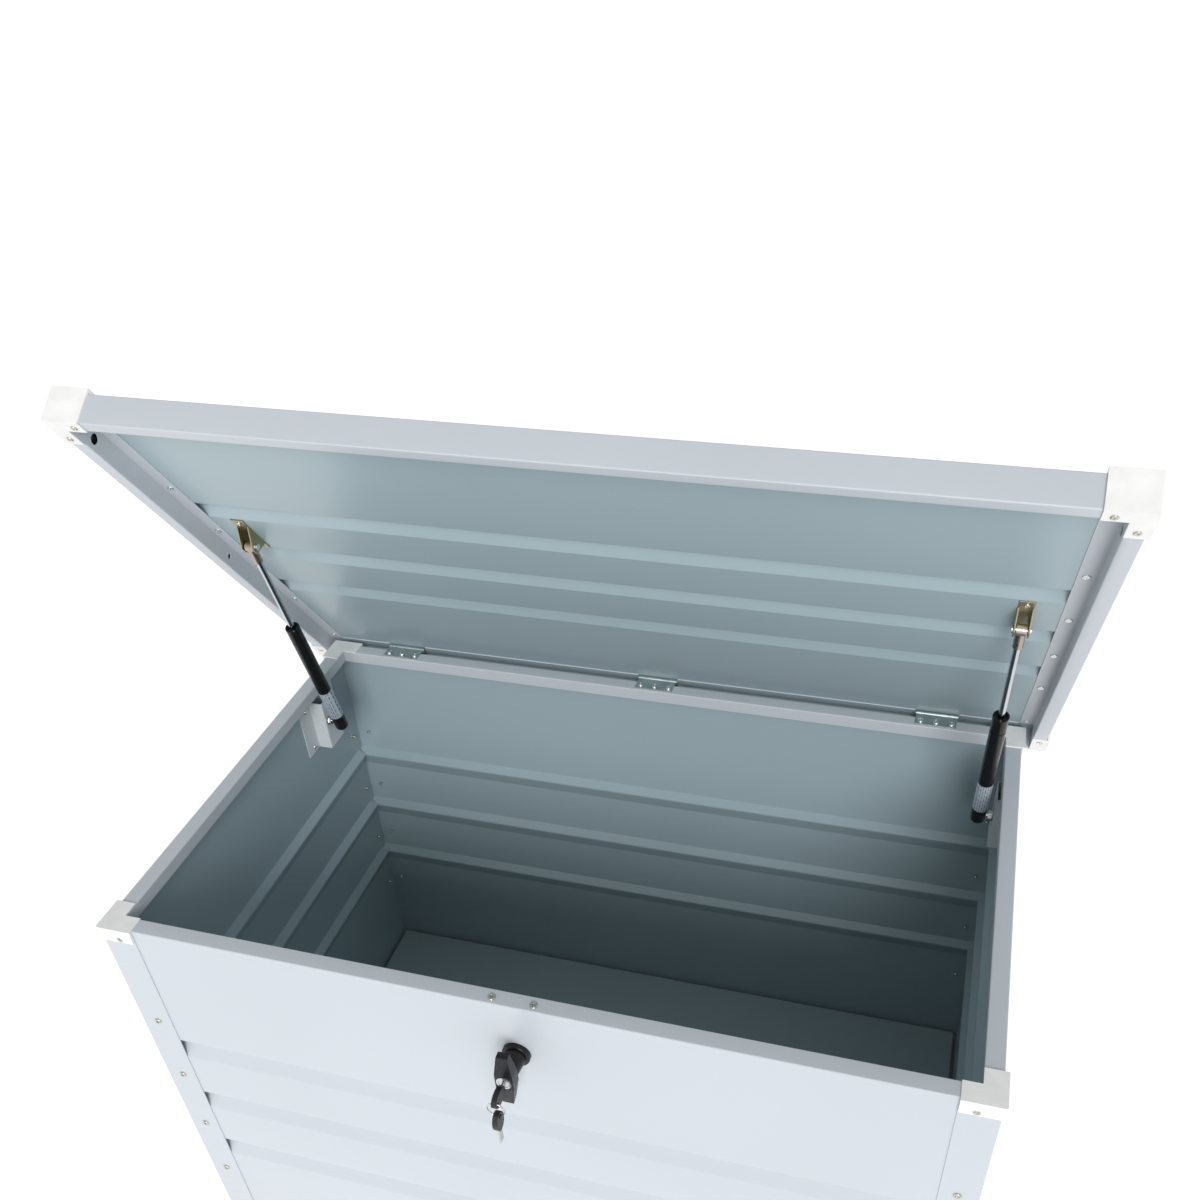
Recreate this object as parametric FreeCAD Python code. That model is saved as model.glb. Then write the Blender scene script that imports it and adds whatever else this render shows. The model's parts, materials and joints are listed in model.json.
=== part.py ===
# Sheet-steel deck storage box with a gas-strut lid, stored with the lid held open.
# Millimetres, Z up. The origin lies on the ground under the middle of the object's outline.

import FreeCAD
import Part
import math
import os

os.makedirs("parts", exist_ok=True)

V = FreeCAD.Vector
X_AXIS = V(1, 0, 0)
Y_AXIS = V(0, 1, 0)
Z_AXIS = V(0, 0, 1)

# Everything below is laid out from the middle of the box carcass, then moved back by this much,
# so that the origin is under the middle of the whole object with its lid open.
ORIGIN_SHIFT_Y = 21.4

# Box carcass
HALF_W = 469.0            # outer face of the corner posts, left and right
HALF_D = 283.0            # outer face of the corner posts, front and rear
RIM_Z = 625.0             # top of the rim above the ground
BASE_Z = 25.0             # lower edge of the walls
SHEET = 1.0
POST_T = 1.2
WALL_X = HALF_W - POST_T  # outer face of the side panels
WALL_Y = HALF_D - POST_T  # outer face of the front and rear panels
RIM_W = 18.8
RIM_LIP = 16.0
BASE_FLANGE = 18.0
POST_LEG = 39.0
JOINT_GAP = 0.2           # gap between folded sheets that meet at a corner
BEND_R = 0.4              # inner radius of every fold

# Pressed grooves, the same tool for the walls and the lid
GROOVE_TOP = 184.0        # first groove below the rim
GROOVE_PITCH = 100.0
GROOVE_H = 30.5
GROOVE_DEPTH = 10.0
GROOVE_STEEP = 7.0
GROOVE_LAND = 2.0

# Corner caps and feet
CAP_PROUD = 2.8
CAP_LEG = 41.5
CAP_TOP = 1.5
CAP_BOTTOM = 16.5
CAP_SCREW_X = 446.0
CAP_SCREW_DROP = 12.5
CAP_SCREW_R = 1.5
CAP_SCREW_SINK = 1.4      # depth of the counterbore that the head lies in
FOOT_SIDE = 46.0
FOOT_SKIRT_Z = 43.0

# Floor
FLOOR_Z = 40.0            # upper face of the floor
FLOOR_GAP = 5.0
BEARER_X = 160.0
BEARER_TOP = 34.0
BEARER_FOOT = 16.0

# Screws
SCREW_R = 2.0
HEAD_R = 4.2
HEAD_H = 1.9
POST_SCREW_X = 448.0
POST_SCREW_Y = 262.0
POST_SCREW_DROP = 152.5

# Lid, in its closed position
HINGE_Y = 290.0
HINGE_Z = 625.6
OPEN_DEG = 54.5
LID_HALF_W = 500.0
LID_FRONT = -303.5
LID_REAR = 316.0
RAIL_INSET = 2.7          # rails stand this far inside the corner caps
RAIL_LOW = 605.8
RAIL_HIGH = 637.6
HEM_W = 3.0
HEM_LOW = 630.3
FLANGE_Z = 628.0
LID_SHEET_Z = 629.0
SIDE_CHANNEL = 16.8
FRONT_CHANNEL = 14.0
FLANGE_W = 17.0
REAR_FLANGE_EDGE = 288.0
LID_CAP_LOW = 604.3
LID_CAP_HIGH = 642.1
LID_RIB_Y = (-103.0, -4.0, 95.0)
RAIL_SCREW_X = 471.0
RAIL_SCREW_Y = (-137.0, -38.0, 57.0, 156.0, 277.0)
SMALL_SCREW_R = 1.6

# Butt hinges
HINGE_X = (-363.5, 0.0, 363.5)
LEAF_W = 50.0
LEAF_T = 1.5
KNUCKLE_R = 2.8
HINGE_PIN_R = 1.25
HINGE_FIT = 0.05
LEAF_SCREW_PITCH = 19.0
LEAF_SCREW_Y = 302.0      # in the lid leaf; the box leaf's are at RIM_SCREW_Y
RIM_SCREW_Y = 273.0

# Gas struts
STRUT_X = 429.0
PIN_Y = -30.0             # strut pin in the lid bracket, lid closed
PIN_Z = 616.0
STUD_Y = 185.0            # stud on the wall bracket
STUD_Z = 563.0
TUBE_R = 9.0
ROD_R = 3.7
ROD_FIT = 0.06
TUBE_START = 137.5        # along the strut from the upper pin, lid open
TUBE_END = 314.0
SOCKET_END = 341.0
ROD_END = 196.0
EYE_STEM = 24.0
CROWN_X = 446.0           # face of the wall bracket that the stud stands on
LID_BRACKET_SCREW_Y = (-64.0, -11.0)

# Lock
LATCH_SCREW_X = (-22.0, 22.0)
LATCH_SCREW_Y = -274.5
LOCK_BODY_R = 9.0
LOCK_X = 0.0
LOCK_Z = 554.0
SPINDLE_R = 5.0
ESCUTCHEON_R = 15.3
PLUG_R = 6.0
PLUG_LENGTH = 19.0
BEZEL_R = 8.3
HANDLE_FACE = -320.5
GRIP_HALF_H = 35.5
GRIP_DEPTH = 13.5
GRIP_END_W = 6.0          # half width at the ends of the grip
GRIP_MID_W = 9.8          # half width beside the key plug
KEY_HOLE_Y = -346.0
KEY_EYE = 8.5             # ring hole from the middle of the bow
KEY_TIP = 34.0            # from the middle of the bow
RING_R = 9.5
RING_WIRE = 0.8


def block(x0, x1, y0, y1, z0, z1):
    """Box between two opposite corners, given in any order."""
    low = V(min(x0, x1), min(y0, y1), min(z0, z1))
    return Part.makeBox(abs(x1 - x0), abs(y1 - y0), abs(z1 - z0), low)


def cylinder(centre, axis, radius, length):
    return Part.makeCylinder(radius, length, centre, axis)


def fuse(shapes):
    whole = shapes[0]
    if len(shapes) > 1:
        whole = whole.fuse(shapes[1:])
    return whole.removeSplitter()


def polygon_prism(points, direction):
    """Extrude a closed polygon of 3-D points."""
    wire = Part.makePolygon(points + [points[0]])
    return Part.Face(wire).extrude(direction)


def unit_normal(a, b, side):
    """Normal of the run from a to b; side 1 is to its left and -1 to its right."""
    dx = b[0] - a[0]
    dy = b[1] - a[1]
    length = math.hypot(dx, dy)
    return (-side * dy / length, side * dx / length)


def folded_outline(points, thickness, side):
    """Outline of a sheet folded along an open line of points, as (x, y, radius) with mitred corners."""
    near = []
    far = []
    last = len(points) - 1
    for i, point in enumerate(points):
        before = unit_normal(points[max(i - 1, 0)], points[max(i, 1)], side)
        after = unit_normal(points[min(i, last - 1)], points[min(i + 1, last)], side)
        scale = thickness / (1.0 + before[0] * after[0] + before[1] * after[1])
        inner = BEND_R if 0 < i < last else 0.0
        outer = BEND_R + thickness if 0 < i < last else 0.0
        towards_offset = side * (before[0] * after[1] - before[1] * after[0]) > 0
        near.append((point[0], point[1], outer if towards_offset else inner))
        offset_x = point[0] + scale * (before[0] + after[0])
        offset_y = point[1] + scale * (before[1] + after[1])
        far.append((offset_x, offset_y, inner if towards_offset else outer))
    return near + far[::-1]


def rounded_prism(corners, direction):
    """Extrude a closed outline of (3-D point, radius) corners, each rounded by its radius."""
    edges = []
    ends = []
    for i, (corner, radius) in enumerate(corners):
        into = (corner - corners[i - 1][0]).normalize()
        out = (corners[(i + 1) % len(corners)][0] - corner).normalize()
        turn = into.getAngle(out)
        if radius == 0.0 or turn < 0.01:
            ends.append((corner, corner))
            continue
        reach = radius * math.tan(turn / 2)
        start = corner - into * reach
        end = corner + out * reach
        bisector = (out - into).normalize()
        middle = corner + bisector * (radius / math.cos(turn / 2) - radius)
        edges.append(Part.Arc(start, middle, end).toShape())
        ends.append((start, end))
    for i, (start, end) in enumerate(ends):
        edges.append(Part.makeLine(ends[i - 1][1], start))
    wire = Part.Wire(Part.__sortEdges__(edges))
    return Part.Face(wire).extrude(direction)


def sheet_along_x(points, thickness, side, x0, x1):
    """Folded sheet whose section is given in (y, z) and which runs along X."""
    outline = folded_outline(points, thickness, side)
    return rounded_prism([(V(x0, y, z), radius) for y, z, radius in outline], V(x1 - x0, 0, 0))


def sheet_along_y(points, thickness, side, y0, y1):
    """Folded sheet whose section is given in (x, z) and which runs along Y."""
    outline = folded_outline(points, thickness, side)
    return rounded_prism([(V(x, y0, z), radius) for x, z, radius in outline], V(0, y1 - y0, 0))


def mirror_x(shape):
    return shape.mirror(V(0, 0, 0), X_AXIS)


def mirror_y(shape):
    return shape.mirror(V(0, 0, 0), Y_AXIS)


def opened(shape):
    """Turn a piece of the closed lid about the hinge pin to its stored, open position."""
    turned = shape.copy()
    turned.rotate(V(0, HINGE_Y, HINGE_Z), X_AXIS, -OPEN_DEG)
    return turned


def opened_point(y, z):
    angle = math.radians(OPEN_DEG)
    a = y - HINGE_Y
    b = z - HINGE_Z
    return (
        HINGE_Y + a * math.cos(angle) + b * math.sin(angle),
        HINGE_Z - a * math.sin(angle) + b * math.cos(angle),
    )


def export(name, shapes):
    solids = []
    for shape in shapes:
        solids.extend(shape.Solids)
    whole = solids[0] if len(solids) == 1 else Part.makeCompound(solids)
    whole.translate(V(0, ORIGIN_SHIFT_Y, 0))
    whole.exportStep("parts/" + name + ".step")


def pan_screw(point, direction, grip, radius=SCREW_R, head_r=HEAD_R, head_h=HEAD_H, pointed=True):
    """Cross-recessed pan head screw; point is under its head and direction is along its shank."""
    pieces = [cylinder(point, direction, radius, grip)]
    if pointed:
        pieces.append(Part.makeCone(radius, radius * 0.4, radius, point + direction * grip, direction))
    head = cylinder(point - direction * head_h, direction, head_r, head_h)
    rim = [
        e for e in head.Edges
        if e.Closed and abs((e.BoundBox.Center - point).dot(direction) + head_h) < 0.01
    ]
    head = head.makeFillet(head_h * 0.6, rim)
    screw = fuse(pieces + [head])
    across = V(0, 0, 1) if abs(direction.z) < 0.5 else V(0, 1, 0)
    other = direction.cross(across)
    start = point - direction * (head_h + 0.1)
    for a, b in ((across, other), (other, across)):
        corner = [a * (head_r * 0.55 * s) + b * (0.45 * t) for s, t in ((-1, -1), (1, -1), (1, 1), (-1, 1))]
        recess = polygon_prism([start + c for c in corner], direction * (head_h * 0.55))
        screw = screw.cut(recess)
    return screw


def wall_profile(with_folds, grooved):
    """Wall section from the bottom up, as (depth inwards, z) of its outer face."""
    points = []
    if with_folds:
        points.append((BASE_FLANGE, BASE_Z))
    points.append((0.0, BASE_Z))
    if grooved:
        for k in (2, 1, 0):
            top = RIM_Z - GROOVE_TOP - GROOVE_PITCH * k
            points.append((0.0, top - GROOVE_H))
            points.append((GROOVE_DEPTH, top - GROOVE_STEEP - GROOVE_LAND))
            points.append((GROOVE_DEPTH, top - GROOVE_STEEP))
            points.append((0.0, top))
    points.append((0.0, RIM_Z))
    if with_folds:
        points.append((RIM_W, RIM_Z))
        points.append((RIM_W, RIM_Z - RIM_LIP))
    return points


def post_screw_heights():
    return [RIM_Z - POST_SCREW_DROP - 100.5 * k for k in range(4)]


def cap_screw_hole(x):
    """Cutter for a rim cap's screw through everything at the front of the box."""
    return cylinder(V(x, -HALF_D - CAP_PROUD - 1, RIM_Z - CAP_SCREW_DROP), Y_AXIS, CAP_SCREW_R + 0.1, 12)


def front_wall():
    """Front wall: base flange, three pressed grooves, rim and inner lip from one sheet."""
    half = WALL_X - SHEET - JOINT_GAP / 2
    section = [(-WALL_Y + u, z) for u, z in wall_profile(True, True)]
    wall = sheet_along_x(section, SHEET, -1, -half, half)
    holes = []
    for z in post_screw_heights():
        for side in (-1, 1):
            holes.append(cylinder(V(side * POST_SCREW_X, -HALF_D, z), Y_AXIS, SCREW_R + 0.15, 12))
    for side in (-1, 1):
        holes.append(cap_screw_hole(side * CAP_SCREW_X))
    return wall.cut(Part.makeCompound(holes))


def front_panel():
    """Front wall with the lock's hole and the two latch-guide holes in its rim."""
    wall = front_wall()
    wall = wall.cut(cylinder(V(LOCK_X, -HALF_D, LOCK_Z), Y_AXIS, LOCK_BODY_R + 0.3, 10))
    for x in LATCH_SCREW_X:
        wall = wall.cut(cylinder(V(x, LATCH_SCREW_Y, RIM_Z - 5), Z_AXIS, SCREW_R + 0.15, 10))
    return wall


def rear_panel():
    """Rear wall with the hinge screw holes in its rim."""
    wall = mirror_y(front_wall())
    for x in hinge_screw_xs():
        wall = wall.cut(cylinder(V(x, RIM_SCREW_Y, RIM_Z - 5), Z_AXIS, SCREW_R + 0.15, 10))
    return wall


def right_panel():
    """Side wall; its grooves stop short of the front and rear walls' ridges."""
    fold_y = WALL_Y - RIM_W - JOINT_GAP
    ridge_y = WALL_Y - GROOVE_DEPTH - SHEET - JOINT_GAP - 0.5
    end_y = WALL_Y - JOINT_GAP / 2
    folded = [(WALL_X - u, z) for u, z in wall_profile(True, True)]
    plain = [(WALL_X - u, z) for u, z in wall_profile(False, True)]
    pieces = [sheet_along_y(folded, SHEET, 1, -fold_y, fold_y)]
    for y0, y1 in ((-ridge_y, -fold_y), (fold_y, ridge_y)):
        pieces.append(sheet_along_y(plain, SHEET, 1, y0, y1))
    for y0, y1 in ((-end_y, -ridge_y), (ridge_y, end_y)):
        pieces.append(block(WALL_X - SHEET, WALL_X, y0, y1, BASE_Z, RIM_Z))
    wall = fuse(pieces)
    holes = []
    for z in post_screw_heights():
        for side in (-1, 1):
            holes.append(cylinder(V(HALF_W - 12, side * POST_SCREW_Y, z), X_AXIS, SCREW_R + 0.15, 14))
    for y, z in bracket_screw_points():
        holes.append(cylinder(V(HALF_W - 12, y, z), X_AXIS, SCREW_R + 0.15, 14))
    return wall.cut(Part.makeCompound(holes))


def corner_post():
    """Angle post at the front right corner, outside the walls."""
    legs = fuse([
        block(HALF_W - POST_LEG, HALF_W, -HALF_D, -HALF_D + POST_T, BASE_Z + 0.2, RIM_Z - 0.2),
        block(HALF_W - POST_T, HALF_W, -HALF_D, -HALF_D + POST_LEG, BASE_Z + 0.2, RIM_Z - 0.2),
    ])
    outer = [
        e for e in legs.Edges
        if abs(e.BoundBox.XMin - HALF_W) < 0.01 and abs(e.BoundBox.YMax + HALF_D) < 0.01
    ]
    legs = legs.makeFillet(1.1, outer)
    holes = []
    for z in post_screw_heights():
        holes.append(cylinder(V(POST_SCREW_X, -HALF_D - 1, z), Y_AXIS, SCREW_R + 0.15, 6))
        holes.append(cylinder(V(HALF_W - 4, -POST_SCREW_Y, z), X_AXIS, SCREW_R + 0.15, 6))
    holes.append(cap_screw_hole(CAP_SCREW_X))
    return legs.cut(Part.makeCompound(holes))


def rim_cap():
    """Moulded cap over the rim at the front right corner."""
    out_x = HALF_W + CAP_PROUD
    out_y = -HALF_D - CAP_PROUD
    low = RIM_Z - CAP_BOTTOM
    top = RIM_Z + CAP_TOP
    in_x = WALL_X - RIM_W
    in_y = -WALL_Y + RIM_W
    wall = CAP_PROUD - 0.1
    cap = fuse([
        block(out_x - CAP_LEG, out_x, out_y, in_y, RIM_Z, top),
        block(in_x, out_x, out_y, out_y + CAP_LEG, RIM_Z, top),
        block(out_x - CAP_LEG, out_x, out_y, out_y + wall, low, top),
        block(out_x - wall, out_x, out_y, out_y + CAP_LEG, low, top),
    ])
    corner = [
        e for e in cap.Edges
        if abs(e.BoundBox.XMin - out_x) < 0.01 and abs(e.BoundBox.YMax - out_y) < 0.01
    ]
    cap = cap.makeFillet(2.2, corner)
    sink = cylinder(V(CAP_SCREW_X, out_y - 1, RIM_Z - CAP_SCREW_DROP), Y_AXIS, 3.7, 1 + CAP_SCREW_SINK)
    return cap.cut(cap_screw_hole(CAP_SCREW_X)).cut(sink)


def rim_cap_screw():
    """Screw through the front face of a rim cap into the post behind it."""
    under_head = V(CAP_SCREW_X, -HALF_D - CAP_PROUD + CAP_SCREW_SINK, RIM_Z - CAP_SCREW_DROP)
    return pan_screw(under_head, Y_AXIS, CAP_PROUD + 2, CAP_SCREW_R, 3.4, 1.3)


def foot():
    """Moulded foot under the front right corner, with a skirt around the post."""
    out_x = HALF_W + CAP_PROUD
    out_y = -HALF_D - CAP_PROUD
    wall = CAP_PROUD - 0.1
    body = fuse([
        block(out_x - FOOT_SIDE, out_x, out_y, out_y + FOOT_SIDE, 0, BASE_Z),
        block(out_x - FOOT_SIDE, out_x, out_y, out_y + wall, 0, FOOT_SKIRT_Z),
        block(out_x - wall, out_x, out_y, out_y + FOOT_SIDE, 0, FOOT_SKIRT_Z),
    ])
    base = [e for e in body.Edges if e.BoundBox.ZMax < 0.01]
    body = body.makeChamfer(2.0, base)
    upright = [
        e for e in body.Edges
        if abs(e.BoundBox.XMin - out_x) < 0.01 and abs(e.BoundBox.YMax - out_y) < 0.01
    ]
    return body.makeFillet(2.2, upright)


def floor_panel():
    """Floor sheet with down-turned edges that stand on the walls' base flanges."""
    x = WALL_X - SHEET - FLOOR_GAP
    y = WALL_Y - SHEET - FLOOR_GAP
    low = BASE_Z + SHEET
    return fuse([
        block(-x, x, -y, y, FLOOR_Z - SHEET, FLOOR_Z),
        block(-x, x, -y, -y + SHEET, low, FLOOR_Z),
        block(-x, x, y - SHEET, y, low, FLOOR_Z),
        block(-x, -x + SHEET, -y, y, low, FLOOR_Z),
        block(x - SHEET, x, -y, y, low, FLOOR_Z),
    ])


def floor_bearer(x):
    """Hat section under the floor, standing on the front and rear base flanges."""
    low = BASE_Z + SHEET
    top = FLOOR_Z - SHEET
    section = [
        (x - BEARER_TOP / 2 - BEARER_FOOT, low),
        (x - BEARER_TOP / 2, low),
        (x - BEARER_TOP / 2, top),
        (x + BEARER_TOP / 2, top),
        (x + BEARER_TOP / 2, low),
        (x + BEARER_TOP / 2 + BEARER_FOOT, low),
    ]
    lifted = [(a, b + 1.2 if b == low else b) for a, b in section]
    half = WALL_Y - SHEET - FLOOR_GAP - SHEET - 0.5
    return sheet_along_y(lifted, 1.2, -1, -half, half)


def post_screws():
    """Screws that clamp the corner posts to the walls."""
    screws = []
    for z in post_screw_heights():
        screws.append(pan_screw(V(POST_SCREW_X, -HALF_D, z), Y_AXIS, 6))
        screws.append(pan_screw(V(HALF_W, -POST_SCREW_Y, z), V(-1, 0, 0), 6))
    screws += [mirror_x(s) for s in screws]
    screws += [mirror_y(s) for s in screws]
    return screws


def four_corners(make):
    """A front right corner piece repeated at all four corners."""
    first = make()
    return {
        "front_right": first,
        "front_left": mirror_x(first),
        "rear_right": mirror_y(first),
        "rear_left": mirror_x(mirror_y(first)),
    }


def hinge_screw_xs():
    return [x + LEAF_SCREW_PITCH * k for x in HINGE_X for k in (-1, 0, 1)]


def barrel(x0, x1):
    """Length of hinge knuckle around the pin."""
    tube = cylinder(V(x0, HINGE_Y, HINGE_Z), X_AXIS, KNUCKLE_R, x1 - x0)
    return tube.cut(cylinder(V(x0 - 1, HINGE_Y, HINGE_Z), X_AXIS, HINGE_PIN_R + HINGE_FIT, x1 - x0 + 2))


def leaf_knuckles(x, middle):
    """Knuckle spans of one leaf: the middle three fifths for the lid, the two ends for the box."""
    fifth = LEAF_W / 5
    left = x - LEAF_W / 2
    if middle:
        return [(left + fifth + 0.4, left + 4 * fifth - 0.4)]
    return [(left, left + fifth), (left + 4 * fifth, left + LEAF_W)]


def hinge_box_leaf(x):
    """Leaf screwed to the rim, with its two end knuckles."""
    clear = cylinder(V(x - LEAF_W, HINGE_Y, HINGE_Z), X_AXIS, HINGE_PIN_R + HINGE_FIT, 2 * LEAF_W)
    plate = block(x - LEAF_W / 2, x + LEAF_W / 2, 266, 286.6, RIM_Z, RIM_Z + LEAF_T)
    pieces = [plate]
    for x0, x1 in leaf_knuckles(x, False):
        pieces.append(barrel(x0, x1))
        pieces.append(block(x0, x1, 286, 289, RIM_Z, RIM_Z + LEAF_T))
    leaf = fuse(pieces).cut(clear)
    for k in (-1, 0, 1):
        hole = cylinder(V(x + LEAF_SCREW_PITCH * k, RIM_SCREW_Y, RIM_Z - 1), Z_AXIS, SCREW_R + 0.15, 5)
        leaf = leaf.cut(hole)
    return leaf


def hinge_lid_leaf(x):
    """Leaf screwed under the lid's rear flange, with the middle knuckle."""
    clear = cylinder(V(x - LEAF_W, HINGE_Y, HINGE_Z), X_AXIS, HINGE_PIN_R + HINGE_FIT, 2 * LEAF_W)
    top = FLANGE_Z
    plate = block(x - LEAF_W / 2, x + LEAF_W / 2, 293.5, 309.5, top - LEAF_T, top)
    pieces = [plate]
    for x0, x1 in leaf_knuckles(x, True):
        pieces.append(barrel(x0, x1))
        pieces.append(block(x0, x1, 290.6, 294, top - LEAF_T, top))
    leaf = fuse(pieces).cut(clear)
    for k in (-1, 0, 1):
        hole = cylinder(V(x + LEAF_SCREW_PITCH * k, LEAF_SCREW_Y, top - 4), Z_AXIS, SCREW_R + 0.15, 6)
        leaf = leaf.cut(hole)
    return opened(leaf)


def hinge_pin(x):
    """Hinge pin with headed ends, fixed in the box leaf."""
    pin = cylinder(V(x - LEAF_W / 2 - 1.2, HINGE_Y, HINGE_Z), X_AXIS, HINGE_PIN_R, LEAF_W + 2.4)
    ends = [
        cylinder(V(x - LEAF_W / 2 - 1.2, HINGE_Y, HINGE_Z), X_AXIS, 2.2, 1.2),
        cylinder(V(x + LEAF_W / 2, HINGE_Y, HINGE_Z), X_AXIS, 2.2, 1.2),
    ]
    return fuse([pin] + ends)


def strut_wall_bracket():
    """Hat-section bracket on the right wall that carries the strut's stud."""
    base = WALL_X - SHEET
    section = [
        (base, 148.5),
        (base, 176.0),
        (CROWN_X, 176.0),
        (CROWN_X, 213.0),
        (base, 213.0),
        (base, 240.5),
    ]
    line = [(x - 1.2 if x == base else x, y) for x, y in section]
    outline = folded_outline(line, 1.2, -1)
    bracket = rounded_prism([(V(x, y, 520.0), radius) for x, y, radius in outline], V(0, 0, 75))
    for y, z in bracket_screw_points():
        bracket = bracket.cut(cylinder(V(base - 5, y, z), X_AXIS, SCREW_R + 0.15, 8))
    return bracket.cut(cylinder(V(CROWN_X - 2, STUD_Y, STUD_Z), X_AXIS, 4.2, 6))


def bracket_screw_points():
    return [(y, z) for y in (165.0, 226.5) for z in (527.5, 587.5)]


def bracket_screws():
    """Screws of the two wall brackets."""
    under_head = WALL_X - SHEET - 1.2
    points = bracket_screw_points()
    screws = [pan_screw(V(under_head, y, z), X_AXIS, 3.2, SCREW_R, 3.9, 1.8) for y, z in points]
    return screws + [mirror_x(s) for s in screws]


def lid_panel():
    """Lid sheet with three ribs pressed upwards; it lies on the rails' flanges."""
    rib_x = 492.0
    edge_x = 495.4
    front = LID_FRONT + RAIL_INSET + SHEET + 0.4
    rear = LID_REAR - RAIL_INSET - SHEET - 0.4
    section = [(front, LID_SHEET_Z)]
    for y in LID_RIB_Y:
        section.append((y, LID_SHEET_Z))
        section.append((y + GROOVE_STEEP, LID_SHEET_Z + GROOVE_DEPTH))
        section.append((y + GROOVE_STEEP + GROOVE_LAND, LID_SHEET_Z + GROOVE_DEPTH))
        section.append((y + GROOVE_H, LID_SHEET_Z))
    section.append((rear, LID_SHEET_Z))
    pieces = [sheet_along_x(section, SHEET, 1, -rib_x, rib_x)]
    for side in (-1, 1):
        strip = block(side * rib_x, side * edge_x, front, rear, LID_SHEET_Z, LID_SHEET_Z + SHEET)
        pieces.append(strip)
    panel = fuse(pieces)
    points = lid_screw_points()
    holes = [cylinder(V(x, y, LID_SHEET_Z - 5), Z_AXIS, radius + 0.1, 12) for x, y, radius in points]
    return opened(panel.cut(Part.makeCompound(holes)))


def lid_screw_points():
    """Screws that end in the lid sheet, as (x, y, radius)."""
    points = [(x, LEAF_SCREW_Y, SCREW_R) for x in hinge_screw_xs()]
    for side in (-1, 1):
        points += [(side * RAIL_SCREW_X, y, SMALL_SCREW_R) for y in RAIL_SCREW_Y]
        points += [(side * STRUT_X, y, SMALL_SCREW_R) for y in LID_BRACKET_SCREW_Y]
    return points


def lid_screw(x, y, under_head, radius, head_r, head_h):
    """Blunt screw driven up from under the lid, flush with the top of its sheet."""
    grip = LID_SHEET_Z + SHEET - under_head
    return opened(pan_screw(V(x, y, under_head), Z_AXIS, grip, radius, head_r, head_h, False))


def channel_line(outer, width, sign):
    """Channel of a rail as (outward position, z), from its inner web round to the hem."""
    inner = outer - sign * width
    return [
        (inner, FLANGE_Z),
        (inner, RAIL_LOW),
        (outer, RAIL_LOW),
        (outer, RAIL_HIGH),
        (outer - sign * HEM_W, RAIL_HIGH),
        (outer - sign * HEM_W, HEM_LOW),
    ]


def lid_side_rail():
    """Right lid rail: a channel with a flange under the lid sheet and a hemmed upstand."""
    outer = LID_HALF_W - RAIL_INSET - 0.5
    line = channel_line(outer, SIDE_CHANNEL, 1)
    low = [(line[0][0], LID_SHEET_Z)] + line[1:]
    front = LID_FRONT + RAIL_INSET
    rear = LID_REAR - RAIL_INSET
    flange_line = [(line[0][0] - FLANGE_W, FLANGE_Z)] + line
    flange_front = front + FRONT_CHANNEL + FLANGE_W + JOINT_GAP
    pieces = [
        sheet_along_y(flange_line, SHEET, 1, flange_front, REAR_FLANGE_EDGE - JOINT_GAP),
        sheet_along_y(low, SHEET, 1, front, flange_front),
        sheet_along_y(low, SHEET, 1, REAR_FLANGE_EDGE - JOINT_GAP, rear),
    ]
    rail = fuse(pieces)
    inner = line[0][0]
    for y, radius in ((-252.0, 5.5), (9.0, 3.0)):
        rail = rail.cut(cylinder(V(inner - 2, y, 617.0), X_AXIS, radius, 5))
    for y in RAIL_SCREW_Y:
        rail = rail.cut(cylinder(V(RAIL_SCREW_X, y, FLANGE_Z - 2), Z_AXIS, SMALL_SCREW_R + 0.2, 5))
    return rail


def lid_front_rail():
    """Front lid rail between the side rails."""
    outer = LID_FRONT + RAIL_INSET
    line = channel_line(outer, FRONT_CHANNEL, -1)
    low = [(line[0][0], LID_SHEET_Z)] + line[1:]
    flange_line = [(line[0][0] + FLANGE_W, FLANGE_Z)] + line
    end = LID_HALF_W - RAIL_INSET - 0.5 - SIDE_CHANNEL - JOINT_GAP
    flange_end = end - FLANGE_W
    rail = fuse([
        sheet_along_x(flange_line, SHEET, -1, -flange_end, flange_end),
        sheet_along_x(low, SHEET, -1, -end, -flange_end),
        sheet_along_x(low, SHEET, -1, flange_end, end),
    ])
    return opened(rail_cap_screw_holes(rail))


def lid_rear_rail():
    """Rear lid rail, a shallow hemmed strip so that it clears the rear wall when open."""
    outer = LID_REAR - RAIL_INSET
    line = channel_line(outer, HEM_W, 1)
    low = [(line[0][0], LID_SHEET_Z)] + line[1:]
    flange_line = [(REAR_FLANGE_EDGE, FLANGE_Z)] + line
    end = LID_HALF_W - RAIL_INSET - 0.5 - SIDE_CHANNEL - JOINT_GAP
    flange_end = end - FLANGE_W
    rail = fuse([
        sheet_along_x(flange_line, SHEET, 1, -flange_end, flange_end),
        sheet_along_x(low, SHEET, 1, -end, -flange_end),
        sheet_along_x(low, SHEET, 1, flange_end, end),
    ])
    for x in HINGE_X:
        notch = block(x - LEAF_W / 2 - 2, x + LEAF_W / 2 + 2, 285, 293.9, FLANGE_Z - 1, LID_SHEET_Z)
        rail = rail.cut(notch)
    for x in hinge_screw_xs():
        rail = rail.cut(cylinder(V(x, LEAF_SCREW_Y, FLANGE_Z - 2), Z_AXIS, SCREW_R + 0.15, 3))
    return opened(rail)


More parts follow.
